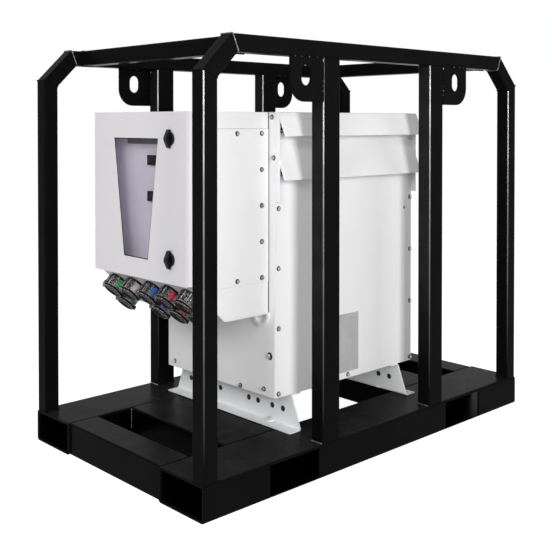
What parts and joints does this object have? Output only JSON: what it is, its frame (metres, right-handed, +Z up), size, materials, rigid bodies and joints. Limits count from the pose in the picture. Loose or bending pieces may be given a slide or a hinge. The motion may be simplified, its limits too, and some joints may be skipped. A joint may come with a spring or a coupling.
{
  "type": "skid-mounted power transformer",
  "caption": "Dry-type power transformer in a vented white case on a black fork-pocket skid inside a tubular lifting cage, with a distribution panel and rows of single-pole connectors.",
  "frame": {"origin": "middle of the skid on the ground", "axes": "+X along the skid away from the distribution panel, +Y across it, +Z up"},
  "size_m": [1.524, 0.895, 1.318],
  "materials": {
    "frame_paint": "satin black paint",
    "case_paint": "white powder coat",
    "foot_paint": "light grey paint",
    "screen_steel": "grey perforated sheet",
    "smoked_cover": "clear smoked plastic",
    "insert_plastic": "moulded",
    "latch_plastic": "moulded black",
    "breaker_plastic": "moulded black",
    "window_clear": "clear sheet",
    "dead_front_paint": "grey paint",
    "hinge_steel": "plated"
  },
  "bodies": {
    "base": {"breakers": "breaker_plastic", "case_base": "case_paint", "case_cover_back": "case_paint", "case_cover_front": "case_paint", "case_end_left": "case_paint", "case_end_right": "case_paint", "case_roof": "case_paint", "connector_covers_lower": "smoked_cover", "connector_covers_upper": "smoked_cover", "connector_inserts_lower": "insert_plastic", "connector_inserts_upper": "insert_plastic", "connector_plate": "case_paint", "corner_braces": "frame_paint", "corner_post_back_left": "frame_paint", "corner_post_back_right": "frame_paint", "corner_post_front_left": "frame_paint", "corner_post_front_right": "frame_paint", "cross_rails": "frame_paint", "dead_front": "dead_front_paint", "door_hinges": "hinge_steel", "end_member_left": "frame_paint", "end_member_right": "frame_paint", "foot_left": "foot_paint", "foot_right": "foot_paint", "fork_cross_left": "frame_paint", "fork_cross_right": "frame_paint", "fork_tube_back": "frame_paint", "fork_tube_front": "frame_paint", "lifting_lugs": "frame_paint", "long_rails": "frame_paint", "louvre_blades_back": "case_paint", "louvre_blades_front": "case_paint", "louvre_hood_back": "case_paint", "louvre_hood_front": "case_paint", "mid_posts_back": "frame_paint", "mid_posts_front": "frame_paint", "vent_screen_back": "screen_steel", "vent_screen_front": "screen_steel", "wireway_hub": "case_paint", "wireway_shell": "case_paint", "wireway_side_cover": "case_paint"},
    "door": {"panel_door": "case_paint", "window_pane": "window_clear"},
    "upper_latch": {"latch_upper": "latch_plastic"},
    "lower_latch": {"latch_lower": "latch_plastic"}
  },
  "joints": [
    {"name": "door_swing", "type": "hinge", "parent": "base", "child": "door", "pos_m": [-0.6405, 0.239, 0.8505], "axis": [0, 0, -1], "range_deg": [0, 120]},
    {"name": "upper_latch_turn", "type": "hinge", "parent": "door", "child": "upper_latch", "pos_m": [-0.667, -0.176, 1.0255], "axis": [-1, 0, 0], "range_deg": [0, 90]},
    {"name": "lower_latch_turn", "type": "hinge", "parent": "door", "child": "lower_latch", "pos_m": [-0.667, -0.176, 0.669], "axis": [-1, 0, 0], "range_deg": [0, 90]}
  ]
}
